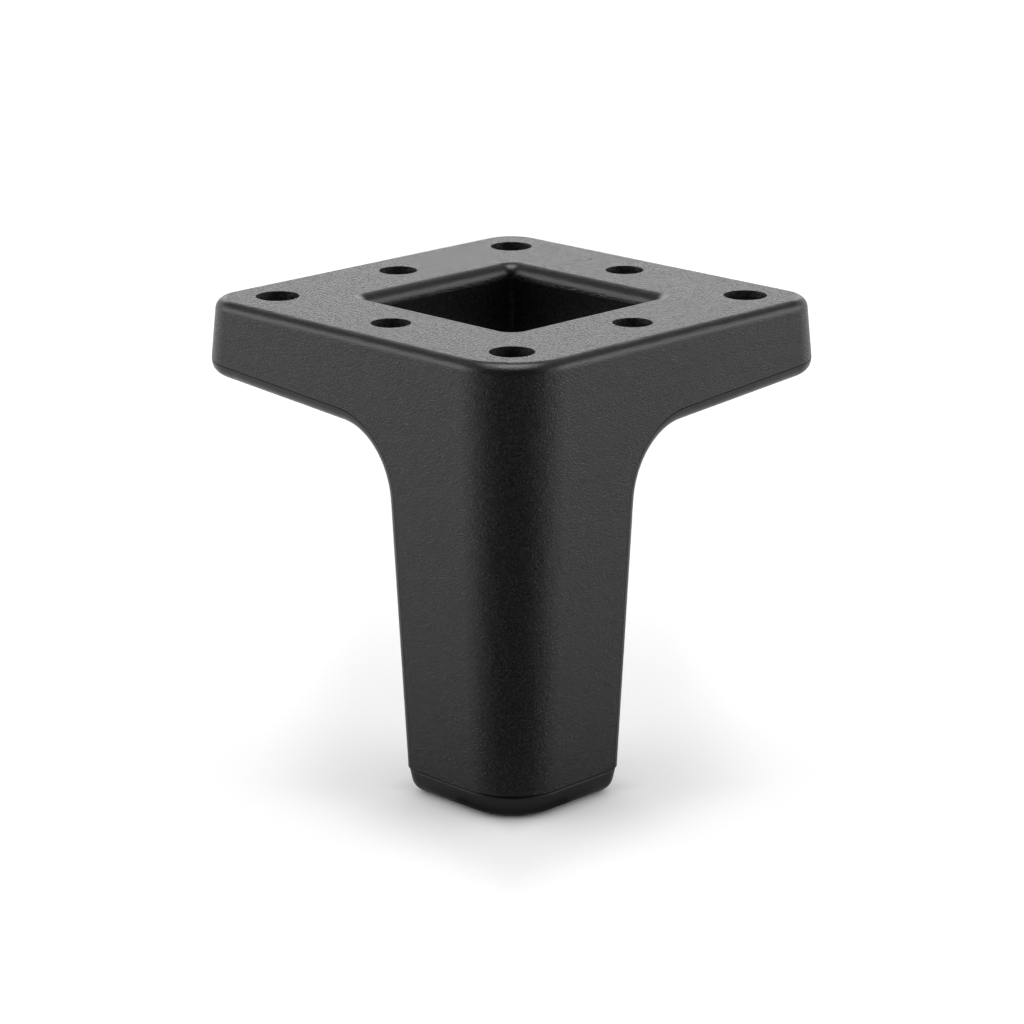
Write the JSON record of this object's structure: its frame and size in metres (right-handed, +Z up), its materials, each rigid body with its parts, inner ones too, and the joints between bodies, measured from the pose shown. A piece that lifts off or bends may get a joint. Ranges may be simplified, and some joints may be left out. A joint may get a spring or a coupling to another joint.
{
  "type": "furniture foot",
  "caption": "Black grained plastic corner foot for furniture: a square mounting plate with screw holes and a square opening, flaring into a tapered leg under one corner, with a rounded base.",
  "frame": {"origin": "centre of the mounting face, which is also the centre of both screw-hole patterns", "axes": "+Z up out of the mounting face into the furniture; the leg stands under the corner at +X, -Y, and the base is at z = -60.2 mm"},
  "size_m": [0.066, 0.066, 0.0602],
  "materials": {
    "black_plastic": "fine mould grain above the mould line, smooth satin below it"
  },
  "bodies": {
    "root": {"foot": "black_plastic"}
  },
  "joints": []
}
